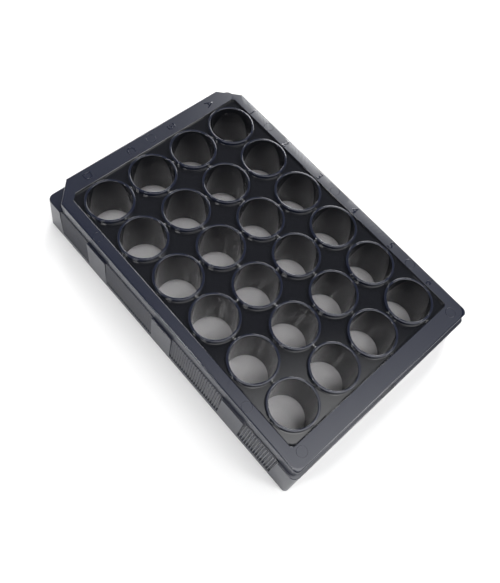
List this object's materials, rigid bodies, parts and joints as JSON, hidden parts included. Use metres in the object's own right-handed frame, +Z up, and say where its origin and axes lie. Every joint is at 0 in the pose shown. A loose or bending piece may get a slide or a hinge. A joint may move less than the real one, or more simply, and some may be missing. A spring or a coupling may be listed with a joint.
{
  "type": "well plate",
  "caption": "Black moulded multiwell plate with raised round rims, a clear flat bottom, a stepped skirt with grip ribs and two bevelled frame corners.",
  "frame": {"origin": "centre of the footprint, on the surface that the plate stands on", "axes": "+X along the long side towards column 6, +Y towards row A, +Z up"},
  "size_m": [0.1278, 0.0854, 0.022],
  "materials": {
    "black_polystyrene": "satin frame and skirt, polished deck and wells",
    "clear_polystyrene": "polished and clear"
  },
  "bodies": {
    "root": {"body": "black_polystyrene", "clear_bottom": "clear_polystyrene"}
  },
  "joints": []
}
